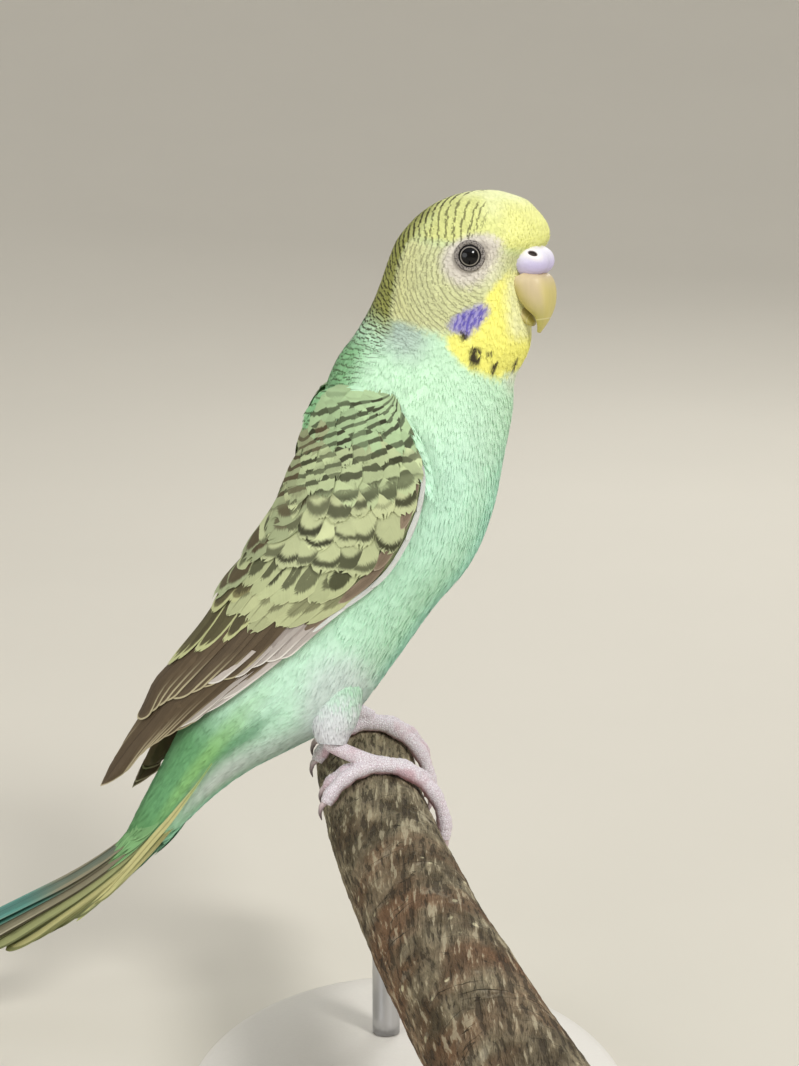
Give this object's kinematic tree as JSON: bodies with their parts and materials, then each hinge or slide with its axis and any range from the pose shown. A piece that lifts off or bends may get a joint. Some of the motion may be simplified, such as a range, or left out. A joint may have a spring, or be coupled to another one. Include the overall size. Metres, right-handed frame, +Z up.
{
  "type": "budgerigar perched on a branch, museum model",
  "caption": "Life-size budgerigar gripping a short cut branch with both feet, held on a plain oval base by two short rods.",
  "frame": {"origin": "centre of the stand base's underside, on the floor", "axes": "+Z up, +X the way the bird faces, -Y the side of its right wing and of the branch's long end"},
  "size_m": [0.1425, 0.1786, 0.1657],
  "materials": {
    "plumage_yellow": "soft feathers, matte",
    "plumage_green": "soft feathers, matte",
    "wing_feathers": "barred feathers, satin",
    "tail_feathers": "long stiff feathers, satin",
    "leg_skin": "fine scales, matte",
    "eye": "wet gloss",
    "cere": "soft satin skin",
    "bill": "satin horn",
    "bark": "rough bark",
    "stand_finish": "matte lacquer",
    "rod_steel": "satin"
  },
  "bodies": {
    "root": {"head": "plumage_yellow", "neck": "plumage_green", "torso": "plumage_green", "rump": "plumage_green", "tail": "tail_feathers", "wing_right": "wing_feathers", "wing_left": "wing_feathers", "leg_right": "plumage_green", "leg_left": "plumage_green", "foot_right": "leg_skin", "foot_left": "leg_skin", "eye_right": "eye", "eye_left": "eye", "cere": "cere", "bill_upper": "bill", "bill_lower": "bill", "perch": "bark", "stand_base": "stand_finish", "stand_rod_1": "rod_steel", "stand_rod_2": "rod_steel"}
  },
  "joints": []
}
